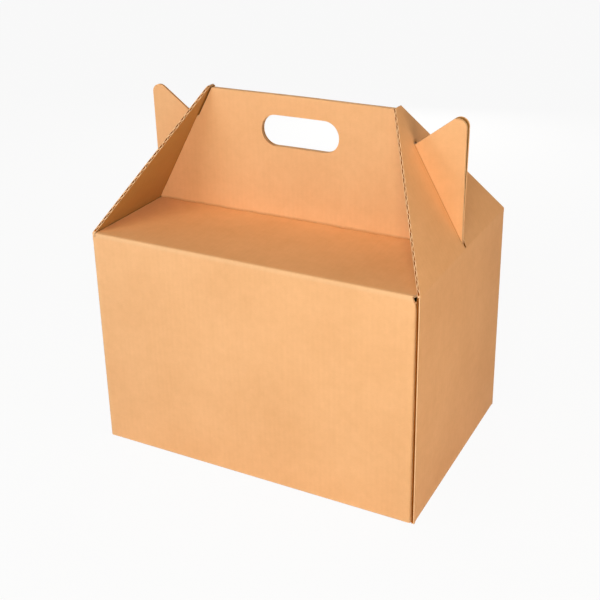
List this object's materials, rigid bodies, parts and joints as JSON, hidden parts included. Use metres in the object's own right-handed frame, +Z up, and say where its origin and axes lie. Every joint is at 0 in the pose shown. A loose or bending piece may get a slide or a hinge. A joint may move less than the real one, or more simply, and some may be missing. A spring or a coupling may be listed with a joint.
{
  "type": "gable-top carry box",
  "caption": "Closed gable-top carry box folded from kraft corrugated board, with a hand hole through an upright handle and ears hooked through slits in leaning end flaps.",
  "frame": {"origin": "on the floor under the middle of the base", "axes": "+Z up, +X along the box towards the glued end, -Y towards the front wall"},
  "size_m": [0.4, 0.274, 0.42],
  "materials": {
    "kraft_board": "matt natural kraft liner, brown fluting at the raw edges"
  },
  "bodies": {
    "root": {"gable_box": "kraft_board"}
  },
  "joints": []
}
